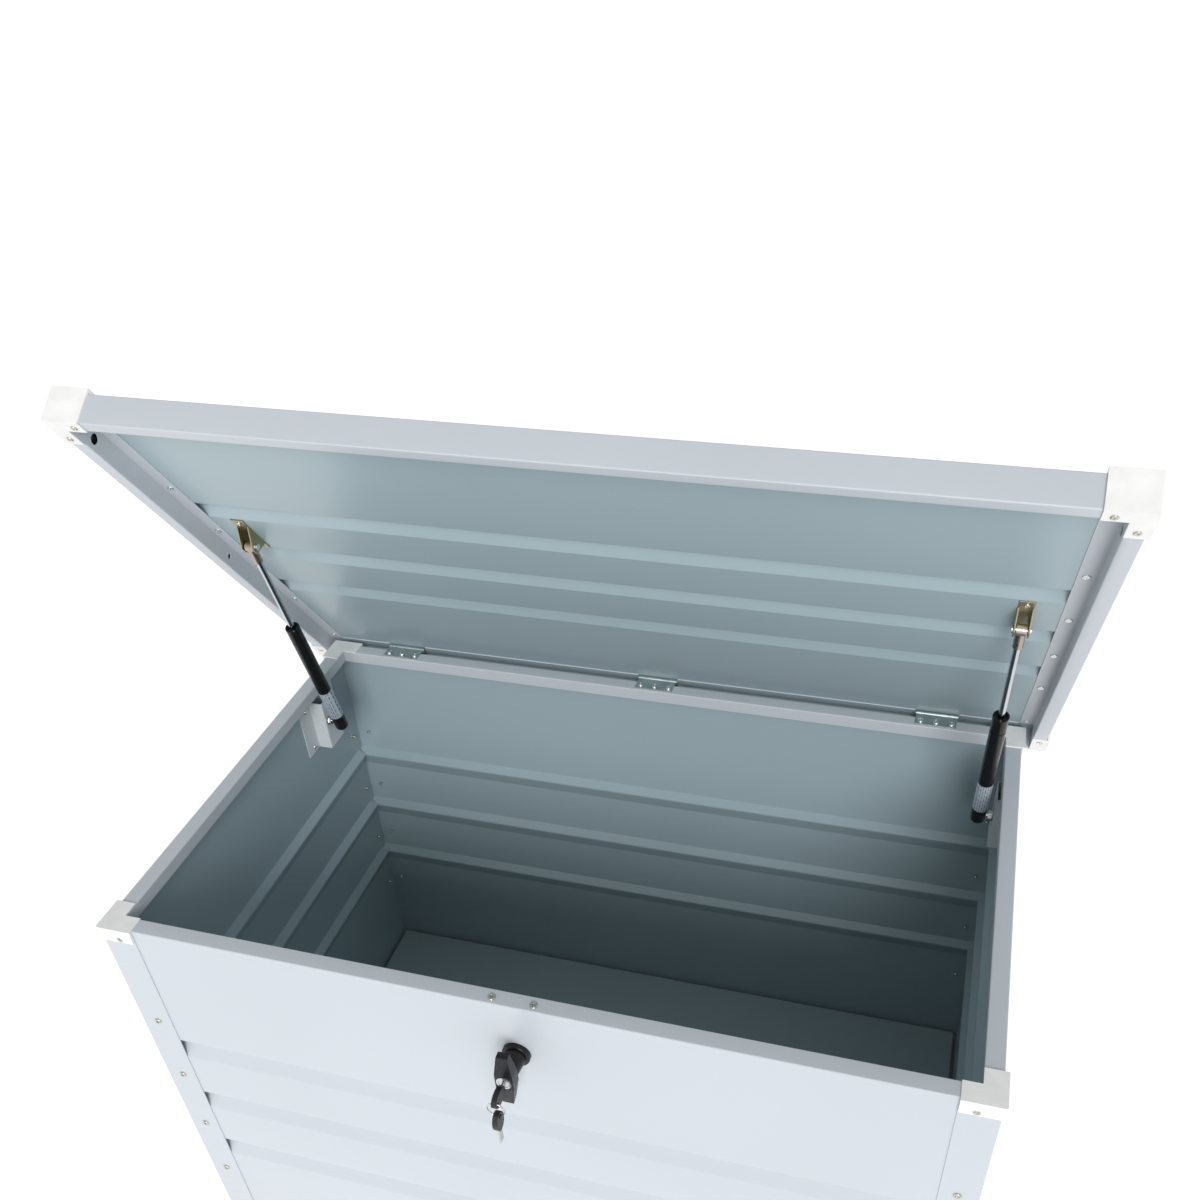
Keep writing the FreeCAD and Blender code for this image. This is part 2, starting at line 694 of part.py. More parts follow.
def lid_cap(front):
    """Moulded corner cap of the lid, right-hand side, over the rail ends."""
    out_x = LID_HALF_W
    out_y = LID_FRONT if front else LID_REAR
    inward = 1 if front else -1
    wall = RAIL_INSET - 0.1
    side_in = LID_HALF_W - RAIL_INSET - 0.5 - SIDE_CHANNEL
    top_low = RAIL_HIGH + 0.2
    pieces = [
        block(out_x - CAP_LEG, out_x, out_y, out_y + inward * wall, LID_CAP_LOW, LID_CAP_HIGH),
        block(out_x - wall, out_x, out_y, out_y + inward * CAP_LEG, LID_CAP_LOW, LID_CAP_HIGH),
        block(out_x - CAP_LEG, out_x, out_y, out_y + inward * 18, top_low, LID_CAP_HIGH),
        block(side_in, out_x, out_y, out_y + inward * CAP_LEG, top_low, LID_CAP_HIGH),
        block(side_in, out_x, out_y, out_y + inward * CAP_LEG, LID_CAP_LOW, RAIL_LOW - 0.1),
    ]
    if front:
        lip_in = out_y + RAIL_INSET + FRONT_CHANNEL
        pieces.append(block(out_x - CAP_LEG, out_x, out_y, lip_in, LID_CAP_LOW, RAIL_LOW - 0.1))
    cap = fuse(pieces)
    corner = [
        e for e in cap.Edges
        if abs(e.BoundBox.XMin - out_x) < 0.01 and abs(e.BoundBox.YMin - out_y) < 0.01
        and abs(e.BoundBox.YMax - out_y) < 0.01
    ]
    return cap.makeFillet(2.0, corner)


def lid_cap_screw_points():
    return [(489.0, -272.0), (468.0, LID_FRONT + 9.5), (489.0, 284.0)]


def lid_cap_screws():
    """Screws under the lid's corner caps."""
    screws = []
    for x, y in lid_cap_screw_points():
        screws.append(pan_screw(V(x, y, LID_CAP_LOW), Z_AXIS, 6, 1.5, 3.4, 1.3))
    return [opened(s) for s in screws + [mirror_x(s) for s in screws]]


def cap_holes(cap, front):
    for x, y in lid_cap_screw_points():
        if (y < 0) == front:
            cap = cap.cut(cylinder(V(x, y, LID_CAP_LOW - 1), Z_AXIS, 1.6, 8))
    return cap


def rail_cap_screw_holes(rail):
    """Clearance holes in a rail's bottom web for the cap screws."""
    for x, y in lid_cap_screw_points():
        for side in (-1, 1):
            rail = rail.cut(cylinder(V(side * x, y, RAIL_LOW - 2), Z_AXIS, 1.8, 5))
    return rail


def lid_rail_screws():
    """Screws that hold the lid sheet down on the side flanges, driven from below."""
    screws = [lid_screw(RAIL_SCREW_X, y, FLANGE_Z, SMALL_SCREW_R, 3.9, 1.0) for y in RAIL_SCREW_Y]
    return screws + [mirror_x(s) for s in screws]


def hinge_lid_screws():
    return [lid_screw(x, LEAF_SCREW_Y, FLANGE_Z - LEAF_T, SCREW_R, 3.8, 1.8) for x in hinge_screw_xs()]


def strut_lid_bracket():
    """Bracket under the lid, right-hand side: base plate with two cheeks for the strut pin."""
    half = 7.8
    cheek_t = 1.5
    top = LID_SHEET_Z
    base = block(STRUT_X - half, STRUT_X + half, -71, -5, top - cheek_t, top)
    pieces = [base]
    profile = [(-57, top - cheek_t), (-17, top - cheek_t), (PIN_Y + 5, PIN_Z - 6.5), (PIN_Y - 6, PIN_Z - 6.5)]
    for x in (STRUT_X - half, STRUT_X + half - cheek_t):
        cheek = polygon_prism([V(x, y, z) for y, z in profile], V(cheek_t, 0, 0))
        pieces.append(cheek)
    bracket = fuse(pieces)
    bracket = bracket.cut(cylinder(V(STRUT_X - 20, PIN_Y, PIN_Z), X_AXIS, 2.55, 40))
    for y in LID_BRACKET_SCREW_Y:
        bracket = bracket.cut(cylinder(V(STRUT_X, y, top - 5), Z_AXIS, SMALL_SCREW_R + 0.2, 8))
    return bracket


def strut_pin():
    """Headed pin across the lid bracket's cheeks."""
    shaft = cylinder(V(STRUT_X - 9.4, PIN_Y, PIN_Z), X_AXIS, 2.5, 18.8)
    heads = [
        cylinder(V(STRUT_X - 9.4, PIN_Y, PIN_Z), X_AXIS, 3.9, 1.5),
        cylinder(V(STRUT_X + 7.9, PIN_Y, PIN_Z), X_AXIS, 3.9, 1.5),
    ]
    return fuse([shaft] + heads)


def lid_bracket_screws():
    """Screws of the two lid brackets."""
    under_head = LID_SHEET_Z - 1.5
    screws = [lid_screw(STRUT_X, y, under_head, SMALL_SCREW_R, 3.2, 1.6) for y in LID_BRACKET_SCREW_Y]
    return screws + [mirror_x(s) for s in screws]


def strut_frame():
    """Upper pin of the open strut and the unit direction down to the stud."""
    y, z = opened_point(PIN_Y, PIN_Z)
    start = V(STRUT_X, y, z)
    down = V(STRUT_X, STUD_Y, STUD_Z) - start
    return start, down.normalize()


def strut_span(s0, s1, radius):
    """Round bar on the right-hand strut's axis between two distances from the upper pin."""
    start, down = strut_frame()
    return cylinder(start + down * s0, down, radius, s1 - s0)


def strut_eye():
    """Steel eye on the rod's end that turns on the lid bracket's pin."""
    start, down = strut_frame()
    ring = cylinder(start - X_AXIS * 5.0, X_AXIS, 6.0, 10.0)
    stem = strut_span(0, EYE_STEM, 5.4)
    eye = fuse([ring, stem])
    eye = eye.cut(strut_span(EYE_STEM - 12, EYE_STEM + 1, ROD_R))
    return eye.cut(cylinder(start - X_AXIS * 12, X_AXIS, 2.56, 24))


def strut_rod():
    return strut_span(EYE_STEM - 12, ROD_END, ROD_R)


def strut_tube():
    """Cylinder tube with an open mouth, a rod guide and a crimp groove."""
    tube = strut_span(TUBE_START, TUBE_END, TUBE_R)
    tube = tube.cut(strut_span(TUBE_START - 1, TUBE_START + 3, TUBE_R - 2.0))
    tube = tube.cut(strut_span(TUBE_START - 1, TUBE_START + 18, ROD_R + ROD_FIT))
    tube = tube.cut(strut_span(TUBE_START + 16, TUBE_END - 6, TUBE_R - 1.5))
    crimp = strut_span(TUBE_START + 22, TUBE_START + 23.6, TUBE_R + 1)
    crimp = crimp.cut(strut_span(TUBE_START + 21, TUBE_START + 25, TUBE_R - 0.5))
    return tube.cut(crimp)


def strut_socket():
    """Moulded end fitting of the tube, with a domed end and a ring groove."""
    start, down = strut_frame()
    body = strut_span(TUBE_END, SOCKET_END, TUBE_R)
    end = [e for e in body.Edges if e.Closed and (e.BoundBox.Center - start).dot(down) > SOCKET_END - 0.1]
    body = body.makeFillet(5.0, end)
    groove = strut_span(TUBE_END + 6, TUBE_END + 7.5, TUBE_R + 1)
    groove = groove.cut(strut_span(TUBE_END + 5, TUBE_END + 8.5, TUBE_R - 0.8))
    body = body.cut(groove)
    return body.cut(cylinder(V(STRUT_X + 2, STUD_Y, STUD_Z), X_AXIS, 3.0, 20))


def strut_stud():
    """Stud with its nut and washer; it ends just short of the wall bracket."""
    stud = cylinder(V(STRUT_X + 2, STUD_Y, STUD_Z), X_AXIS, 3.0, CROWN_X - 0.4 - STRUT_X - 2)
    corners = []
    for k in range(6):
        angle = math.radians(60 * k)
        corners.append(V(CROWN_X - 5.6, STUD_Y + 5.8 * math.cos(angle), STUD_Z + 5.8 * math.sin(angle)))
    nut = polygon_prism(corners, V(3.6, 0, 0))
    washer = cylinder(V(CROWN_X - 2.0, STUD_Y, STUD_Z), X_AXIS, 7.0, 1.4)
    return fuse([stud, nut, washer])


def hexagon(centre, across_flats, thickness):
    """Hexagonal nut blank with its axis along Y."""
    radius = across_flats / math.sqrt(3)
    corners = []
    for k in range(6):
        angle = math.radians(60 * k)
        corners.append(centre + V(radius * math.cos(angle), 0, radius * math.sin(angle)))
    return polygon_prism(corners, V(0, thickness, 0))


def lock_escutcheon():
    """Round lock base on the front wall with its threaded body through the wall."""
    face = -WALL_Y
    base = cylinder(V(LOCK_X, face - 6, LOCK_Z), Y_AXIS, ESCUTCHEON_R, 6)
    rim = [e for e in base.Edges if e.Closed and e.BoundBox.Center.y < face - 5.9]
    base = base.makeFillet(1.8, rim)
    body = cylinder(V(LOCK_X, face, LOCK_Z), Y_AXIS, LOCK_BODY_R, 9)
    whole = fuse([base, body])
    return whole.cut(cylinder(V(LOCK_X, face - 10, LOCK_Z), Y_AXIS, SPINDLE_R + 0.06, 30))


def lock_nut():
    face = -WALL_Y + SHEET
    nut = hexagon(V(LOCK_X, face, LOCK_Z), 26, 4.5)
    return nut.cut(cylinder(V(LOCK_X, face - 1, LOCK_Z), Y_AXIS, LOCK_BODY_R, 8))


def handle_grip():
    """Wing of the T-handle: side outline (depth, height) crossed with front outline (half width, height)."""
    side = [
        (3.0, GRIP_HALF_H),
        (0.0, 12.0),
        (0.0, -12.0),
        (2.0, -GRIP_HALF_H),
        (9.0, -28.5),
        (GRIP_DEPTH, -8.0),
        (GRIP_DEPTH, 8.0),
        (10.5, GRIP_HALF_H),
    ]
    right = [(GRIP_END_W, -GRIP_HALF_H), (GRIP_MID_W, -9.0), (GRIP_MID_W, 9.0), (GRIP_END_W, GRIP_HALF_H)]
    outline = right + [(-x, z) for x, z in reversed(right)]
    low_x = LOCK_X - GRIP_MID_W - 1
    side_points = [V(low_x, HANDLE_FACE + depth, LOCK_Z + height) for depth, height in side]
    front_points = [V(LOCK_X + x, HANDLE_FACE - 1, LOCK_Z + height) for x, height in outline]
    across = polygon_prism(side_points, V(2 * GRIP_MID_W + 2, 0, 0))
    return across.common(polygon_prism(front_points, V(0, GRIP_DEPTH + 2, 0)))


def handle():
    """T-handle on a round neck, bored for the key plug, with the spindle through the lock."""
    neck_end = -WALL_Y - 6.4
    back = HANDLE_FACE + GRIP_DEPTH - 2
    spindle = cylinder(V(LOCK_X, neck_end, LOCK_Z), Y_AXIS, SPINDLE_R, 21.4)
    neck = Part.makeCone(9.4, 11.5, neck_end - back, V(LOCK_X, back, LOCK_Z), Y_AXIS)
    whole = fuse([handle_grip(), neck, spindle])
    bezel_bore = cylinder(V(LOCK_X, HANDLE_FACE - 2, LOCK_Z), Y_AXIS, BEZEL_R, 12)
    plug_bore = cylinder(V(LOCK_X, HANDLE_FACE, LOCK_Z), Y_AXIS, PLUG_R + 0.06, PLUG_LENGTH)
    return whole.cut(bezel_bore).cut(plug_bore)


def lock_bezel():
    """Bright ring pressed into the handle around the key plug."""
    centre = V(LOCK_X, HANDLE_FACE - 0.8, LOCK_Z)
    ring = cylinder(centre, Y_AXIS, BEZEL_R, 10.8)
    return ring.cut(cylinder(centre - Y_AXIS, Y_AXIS, PLUG_R + 0.06, 12.8))


def lock_plug():
    """Key plug with its keyway right through."""
    centre = V(LOCK_X, HANDLE_FACE - 0.4, LOCK_Z)
    plug = cylinder(centre, Y_AXIS, PLUG_R, PLUG_LENGTH)
    keyway = block(LOCK_X - 1.2, LOCK_X + 1.2, HANDLE_FACE - 2, HANDLE_FACE + 20, LOCK_Z - 4.2, LOCK_Z + 4.2)
    return plug.cut(keyway)


def latch_cam():
    """Flat cam on the spindle's inner end, pointing up behind the rim's lip."""
    y0 = -WALL_Y + 10.4
    plate = block(LOCK_X - 8, LOCK_X + 8, y0, y0 + 2.5, LOCK_Z, LOCK_Z + 44)
    disc = cylinder(V(LOCK_X, y0, LOCK_Z), Y_AXIS, 10, 2.5)
    cam = fuse([plate, disc])
    return cam.cut(cylinder(V(LOCK_X, y0 - 1, LOCK_Z), Y_AXIS, SPINDLE_R, 6))


def latch_guide():
    """Angle plate under the front rim, between the wall and the lip."""
    back = -WALL_Y + SHEET + 0.1
    under = RIM_Z - SHEET
    plate = fuse([
        block(-34, 34, back, back + 15.5, under - 1.5, under),
        block(-34, 34, back, back + 1.5, under - 30, under),
    ])
    for x in LATCH_SCREW_X:
        plate = plate.cut(cylinder(V(x, LATCH_SCREW_Y, under - 3), Z_AXIS, SCREW_R, 6))
    return plate


def latch_guide_screws():
    down = V(0, 0, -1)
    return [pan_screw(V(x, LATCH_SCREW_Y, RIM_Z), down, 5, SCREW_R, HEAD_R, 1.8) for x in LATCH_SCREW_X]


def key_shape(flat_y, flat_z, along_y):
    """Key with an oval moulded bow, its flat in the YZ plane; (flat_y, flat_z) is its ring hole."""
    bow = cylinder(V(LOCK_X - 2.9, 0, 0), X_AXIS, 10.0, 5.8)
    stretch = FreeCAD.Matrix()
    stretch.scale(1.0, 1.25, 0.85)
    bow = bow.transformGeometry(stretch)
    blade = block(LOCK_X - 1.0, LOCK_X + 1.0, 10.5, KEY_TIP, -3.4, 3.4)
    for k in range(4):
        blade = blade.cut(block(LOCK_X - 2, LOCK_X + 2, 17.5 + 3.8 * k, 19 + 3.8 * k, 2.2, 4))
    whole = fuse([bow, blade])
    whole = whole.cut(cylinder(V(LOCK_X - 5, -KEY_EYE, 0), X_AXIS, 2.6, 10))
    if not along_y:
        whole.rotate(V(0, -KEY_EYE, 0), X_AXIS, -90)
    whole.translate(V(0, flat_y + KEY_EYE, flat_z))
    return whole


def key():
    """Key in the lock, pointing along Y."""
    return key_shape(KEY_HOLE_Y, LOCK_Z, True)


def key_ring():
    centre = V(LOCK_X, KEY_HOLE_Y, LOCK_Z - RING_R)
    return Part.makeTorus(RING_R, RING_WIRE, centre, Y_AXIS)


def spare_key():
    """Second key hanging from the ring."""
    return key_shape(KEY_HOLE_Y, LOCK_Z - 2 * RING_R, False)


def main():
    export("front_panel", [front_panel()])
    export("rear_panel", [rear_panel()])
    right = right_panel()
    export("right_panel", [right])
    export("left_panel", [mirror_x(right)])
    for label, make in (("corner_post", corner_post), ("rim_cap", rim_cap)):
        for corner, shape in four_corners(make).items():
            export(label + "_" + corner, [shape])
    export("feet", list(four_corners(foot).values()))
    export("rim_cap_screws", list(four_corners(rim_cap_screw).values()))
    export("floor_panel", [floor_panel()])
    export("floor_bearers", [floor_bearer(-BEARER_X), floor_bearer(BEARER_X)])
    export("post_screws", post_screws())

    export("hinge_box_leaves", [hinge_box_leaf(x) for x in HINGE_X])
    export("hinge_pins", [hinge_pin(x) for x in HINGE_X])
    box_screws = [pan_screw(V(x, RIM_SCREW_Y, RIM_Z + LEAF_T), V(0, 0, -1), 5) for x in hinge_screw_xs()]
    export("hinge_box_screws", box_screws)
    export("hinge_lid_leaves", [hinge_lid_leaf(x) for x in HINGE_X])
    export("hinge_lid_screws", hinge_lid_screws())

    bracket = strut_wall_bracket()
    export("right_wall_bracket", [bracket])
    export("left_wall_bracket", [mirror_x(bracket)])
    export("wall_bracket_screws", bracket_screws())

    export("lid_panel", [lid_panel()])
    export("lid_front_rail", [lid_front_rail()])
    export("lid_rear_rail", [lid_rear_rail()])
    rail = opened(rail_cap_screw_holes(lid_side_rail()))
    export("lid_right_rail", [rail])
    export("lid_left_rail", [mirror_x(rail)])
    for label, front in (("front", True), ("rear", False)):
        cap = opened(cap_holes(lid_cap(front), front))
        export("lid_cap_" + label + "_right", [cap])
        export("lid_cap_" + label + "_left", [mirror_x(cap)])
    export("lid_cap_screws", lid_cap_screws())
    export("lid_rail_screws", lid_rail_screws())
    lid_bracket = opened(strut_lid_bracket())
    pin = opened(strut_pin())
    export("lid_strut_brackets", [lid_bracket, mirror_x(lid_bracket)])
    export("lid_strut_pins", [pin, mirror_x(pin)])
    export("lid_bracket_screws", lid_bracket_screws())

    strut = (
        ("strut_eye", strut_eye()),
        ("strut_rod", strut_rod()),
        ("strut_tube", strut_tube()),
        ("strut_socket", strut_socket()),
        ("strut_stud", strut_stud()),
    )
    for label, shape in strut:
        export("right_" + label, [shape])
        export("left_" + label, [mirror_x(shape)])

    export("lock_escutcheon", [lock_escutcheon()])
    export("lock_nut", [lock_nut()])
    export("handle", [handle()])
    export("lock_bezel", [lock_bezel()])
    export("lock_plug", [lock_plug()])
    export("latch_cam", [latch_cam()])
    export("latch_guide", [latch_guide()])
    export("latch_guide_screws", latch_guide_screws())
    export("key", [key()])
    export("key_ring", [key_ring()])
    export("spare_key", [spare_key()])


main()
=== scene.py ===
# Looks of the deck storage box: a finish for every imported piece, the strut labels, floor, light and camera.
# Metres, Z up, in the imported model's own frame. Colours are linear; texture scales are in cycles per metre.

import json
import math

import bpy
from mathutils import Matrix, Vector


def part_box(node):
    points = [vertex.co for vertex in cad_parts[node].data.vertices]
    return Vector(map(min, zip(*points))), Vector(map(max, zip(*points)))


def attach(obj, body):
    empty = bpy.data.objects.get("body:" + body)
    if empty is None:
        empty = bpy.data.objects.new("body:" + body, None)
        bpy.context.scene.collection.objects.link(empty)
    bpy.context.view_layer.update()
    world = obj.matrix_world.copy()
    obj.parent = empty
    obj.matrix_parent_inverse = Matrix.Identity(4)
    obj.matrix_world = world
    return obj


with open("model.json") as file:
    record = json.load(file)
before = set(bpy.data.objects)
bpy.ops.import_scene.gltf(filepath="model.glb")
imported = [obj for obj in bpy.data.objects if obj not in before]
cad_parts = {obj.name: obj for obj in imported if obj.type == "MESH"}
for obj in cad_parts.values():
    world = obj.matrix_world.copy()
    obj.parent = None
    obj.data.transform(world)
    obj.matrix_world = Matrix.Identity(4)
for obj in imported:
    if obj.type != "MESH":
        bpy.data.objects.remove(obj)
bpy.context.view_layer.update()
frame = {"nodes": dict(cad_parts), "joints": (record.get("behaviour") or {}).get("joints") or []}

NODES = frame["nodes"]
JOINTS = {joint["name"]: joint for joint in frame["joints"]}

# Directions that the outer faces look in, at rest
FRONT = (0.0, -1.0, 0.0)
REAR = (0.0, 1.0, 0.0)
LEFT = (-1.0, 0.0, 0.0)
RIGHT = (1.0, 0.0, 0.0)
LID_OPEN = math.radians(54.5)
LID_UP = (0.0, math.sin(LID_OPEN), math.cos(LID_OPEN))
SIDES = ("left", "right")

# Meshes: creases sharper than SHARP stay sharp, and points closer than WELD are one
SHARP = math.radians(30.0)
WELD = 0.00001
BEVEL_STEPS = 2

# Edge radii
CAP_EDGE = 0.0006
HANDLE_EDGE = 0.0004
FITTING_EDGE = 0.0003
THIN_EDGE = 0.0002
SCREW_EDGE = 0.0001

# Sockets of a Mix node in colour mode
MIX_FACTOR, MIX_FIRST, MIX_SECOND = 0, 6, 7
MIX_RESULT = 2

# Which faces of a sheet are its inner side
WALL_RELIEF = 0.014  # the walls' grooves stay within this depth, and the rim's lip lies beyond it
INNER_FACING = (-0.16, -0.10)  # the normal's part along the outward direction, from inner to outer
INNER_BLEND = 0.0002

# The middle of a noise texture's values, which is spread over what the texture drives
NOISE_MIDDLE = (0.3, 0.7)
SCUFF_SMOOTHER, SCUFF_ROUGHER = 0.06, 0.1

# Powder coat
PAINT_OUTSIDE = (0.50, 0.535, 0.577)
PAINT_INSIDE = (0.33, 0.42, 0.454)
PAINT_BRACKET = (0.60, 0.64, 0.66)
PAINT_ROUGHNESS = 0.27
BRACKET_ROUGHNESS = 0.32
CLOUD_SCALE = 4.0
CLOUD_MIDDLE = (0.2, 0.8)
CLOUD_SHADES = (0.98, 1.02)
DIRT = (0.42, 0.40, 0.36)
DIRT_HEIGHTS = (0.02, 0.16)
DIRT_SHARES = (0.10, 0.0)
PEEL_SCALE = 700.0
PEEL_DEPTH = 0.00003
PEEL_STRENGTH = 0.3

# Moulded plastic
CAP_WHITE = (0.83, 0.83, 0.82)
TUBE_BLACK = (0.008, 0.009, 0.010)
BLACK_PLASTIC = (0.010, 0.010, 0.012)
MOTTLE_SCALE = 40.0
MOTTLE_SHADES = (0.94, 1.04)
SCUFF_SCALE = 160.0
SCUFF_MIDDLE = (0.35, 0.75)
GRAIN_SCALE = 2200.0
GRAIN_DEPTH = 0.00004

# Bare and plated metal
BLOTCH_MIDDLE = (0.35, 0.65)
SMALL_BLOTCHES = 220.0
DRAWN_SCALE = 260.0
DRAWN_DEPTH = 0.00003
DRAWN_STRENGTH = 0.35
SPANGLE_SCALE = 130.0
SPANGLE_COLOURS = ((0.40, 0.42, 0.43), (0.58, 0.60, 0.61))
SPANGLE_ROUGHNESS = (0.34, 0.52)
SPANGLE_METALLIC = 0.9

# Keys: the moulded bow ends this far from the blade's tip
KEY_BLADE = 0.0217
KEY_BLEND = 0.0002
KEY_NICKEL = (0.62, 0.61, 0.58)
KEY_WEAR_SCALE = 300.0
KEY_WEAR_SHADES = (0.85, 1.05)
KEY_ROUGHNESS = (0.42, 0.25)  # of the bow and of the blade
KEY_GRAIN_SCALE = 1800.0
KEY_GRAIN_STRENGTH = 0.4

# Strut labels, measured down the strut from its upper pin
LABEL_START = 0.261
LABEL_END = 0.3135
LABEL_RADIUS = 0.00906
LABEL_LIFT = 0.00006
LABEL_EDGE = 0.0003
LABEL_TURN = 300.0
LABEL_STEPS = 40
LABEL_METALLIC = 0.35
LABEL_FOIL = (0.62, 0.68, 0.75, 1.0)
LABEL_MARKS = ((0.14, 0.17, 0.25, 1.0), (0.34, 0.38, 0.46, 1.0))
MARK_SHIFT = 0.37
MARK_GAP = 0.0009
MARK_LENGTH = 0.0088
MARK_ROW = 0.0027
WRINKLE_SCALE = 120.0
WRINKLE_ROUGHNESS = (0.24, 0.40)

# Studio
FLOOR_RADIUS = 60.0
FLOOR_STEPS = 96
FLOOR_SCALE = 2.0
FLOOR_SHADES = (0.79, 0.81)
FLOOR_ROUGHNESS = 0.9
FLOOR_GLOW = 0.42
SKY_HEIGHTS = (0.05, 0.8)  # the viewing direction's vertical part, at which the sky is SKY_LOW and SKY_HIGH
SKY_LOW = 0.70
SKY_HIGH = 0.48
WHITE = (1.0, 1.0, 1.0, 1.0)
SUN_STRENGTH = 2.05
SUN_SPREAD = 28.0
SUN_HEIGHT = 26.0
SUN_SIDE = -17.0  # degrees from straight in front, towards the left

# The photograph's camera, solved from the corners of the lid and the rim
CAMERA_PLACE = (0.35172, -0.93801, 1.52801)
CAMERA_TURN = (49.663, 2.405, 15.777)
CAMERA_SENSOR = 36.0
CAMERA_LENS = 35.45
CAMERA_SHIFT = (-0.0236, 0.1621)


def mix_colour(nodes, links, factor, low, high, blend="MIX"):
    """Mix node of two colours; factor, low and high are sockets or values."""
    mix = nodes.new("ShaderNodeMix")
    mix.data_type = "RGBA"
    mix.blend_type = blend
    for index, value in ((MIX_FACTOR, factor), (MIX_FIRST, low), (MIX_SECOND, high)):
        socket = mix.inputs[index]
        if isinstance(value, bpy.types.NodeSocket):
            links.new(value, socket)
        elif isinstance(value, tuple):
            socket.default_value = value + (1.0,)
        else:
            socket.default_value = value
    return mix.outputs[MIX_RESULT]


def ranged(nodes, links, value, source, target):
    """Value rescaled from the source range to the target range, and clamped."""
    node = nodes.new("ShaderNodeMapRange")
    links.new(value, node.inputs[0])
    for index, number in enumerate(source + target, start=1):
        node.inputs[index].default_value = number
    return node.outputs[0]


def noise(nodes, links, coords, scale, detail=2.0, stretch=None):
    """Noise value over coords, whose axes are scaled by stretch first if it is given."""
    texture = nodes.new("ShaderNodeTexNoise")
    texture.inputs["Scale"].default_value = scale
    texture.inputs["Detail"].default_value = detail
    if stretch:
        mapping = nodes.new("ShaderNodeMapping")
        mapping.inputs["Scale"].default_value = stretch
        links.new(coords, mapping.inputs["Vector"])
        coords = mapping.outputs[0]
    links.new(coords, texture.inputs["Vector"])
    return texture.outputs[0]


def along(nodes, links, vector, direction):
    """Component of a vector along a direction."""
    dot = nodes.new("ShaderNodeVectorMath")
    dot.operation = "DOT_PRODUCT"
    links.new(vector, dot.inputs[0])
    dot.inputs[1].default_value = direction
    return dot.outputs["Value"]


def inner_side(nodes, links, coordinates, outward, reach):
    """1 on faces that look away from outward and, if reach is given, lie further than it that way; else 0."""
    normal = along(nodes, links, coordinates.outputs["Normal"], outward)
    facing = ranged(nodes, links, normal, INNER_FACING, (1.0, 0.0))
    if reach is None:
        return facing
    distance = along(nodes, links, coordinates.outputs["Object"], outward)
    near = ranged(nodes, links, distance, (reach - INNER_BLEND, reach), (0.0, 1.0))
    both = nodes.new("ShaderNodeMath")
    both.operation = "MULTIPLY"
    links.new(facing, both.inputs[0])
    links.new(near, both.inputs[1])
    return both.outputs[0]


def bump(nodes, links, shader, height, distance, strength):
    """Drives the shader's normal by a height value; distance is the relief's depth."""
    node = nodes.new("ShaderNodeBump")
    node.inputs["Strength"].default_value = strength
    node.inputs["Distance"].default_value = distance
    links.new(height, node.inputs["Height"])
    links.new(node.outputs[0], shader.inputs["Normal"])


def scuffed(roughness):
    """Range of roughness over the worn and less worn spots of a surface."""
    return roughness - SCUFF_SMOOTHER, roughness + SCUFF_ROUGHER


def start_material(name):
    """New material with its nodes, links, shader and object coordinates."""
    material = bpy.data.materials.new(name)
    material.use_nodes = True
    nodes = material.node_tree.nodes
    links = material.node_tree.links
    return material, nodes, links, nodes["Principled BSDF"], nodes.new("ShaderNodeTexCoord")


def paint(name, outward=None, reach=None, roughness=PAINT_ROUGHNESS, colour=PAINT_OUTSIDE):
    """Powder coat with fine orange peel, faint clouding and a little dirt near the ground.

    With outward given, a sheet's inner side has the darker shade.
    """
    material, nodes, links, shader, coordinates = start_material(name)
    place = coordinates.outputs["Object"]
    if outward:
        inner = inner_side(nodes, links, coordinates, outward, reach)
        colour = mix_colour(nodes, links, inner, colour, PAINT_INSIDE)
    clouds = noise(nodes, links, place, CLOUD_SCALE, detail=1.0)
    shade = ranged(nodes, links, clouds, CLOUD_MIDDLE, CLOUD_SHADES)
    colour = mix_colour(nodes, links, 1.0, colour, shade, "MULTIPLY")
    height = nodes.new("ShaderNodeSeparateXYZ")
    links.new(place, height.inputs[0])
    low = ranged(nodes, links, height.outputs["Z"], DIRT_HEIGHTS, DIRT_SHARES)
    colour = mix_colour(nodes, links, low, colour, DIRT)
    links.new(colour, shader.inputs["Base Color"])
    shader.inputs["Roughness"].default_value = roughness
    peel = noise(nodes, links, place, PEEL_SCALE, detail=1.0)
    bump(nodes, links, shader, peel, PEEL_DEPTH, PEEL_STRENGTH)
    return material


def moulded(name, colour, roughness, grain=0.5, shine=0.5):
    """Moulded plastic: fine spark-eroded grain, slight mottling and faintly scuffed gloss.

    grain is the relief's strength and shine the strength of reflections.
    """
    material, nodes, links, shader, coordinates = start_material(name)
    shader.inputs["Specular IOR Level"].default_value = shine
    place = coordinates.outputs["Object"]
    mottle = noise(nodes, links, place, MOTTLE_SCALE, detail=3.0)
    shade = ranged(nodes, links, mottle, NOISE_MIDDLE, MOTTLE_SHADES)
    links.new(mix_colour(nodes, links, 1.0, colour, shade, "MULTIPLY"), shader.inputs["Base Color"])
    scuffs = noise(nodes, links, place, SCUFF_SCALE, detail=6.0)
    links.new(ranged(nodes, links, scuffs, SCUFF_MIDDLE, scuffed(roughness)), shader.inputs["Roughness"])
    bump(nodes, links, shader, noise(nodes, links, place, GRAIN_SCALE, detail=1.0), GRAIN_DEPTH, grain)
    return material


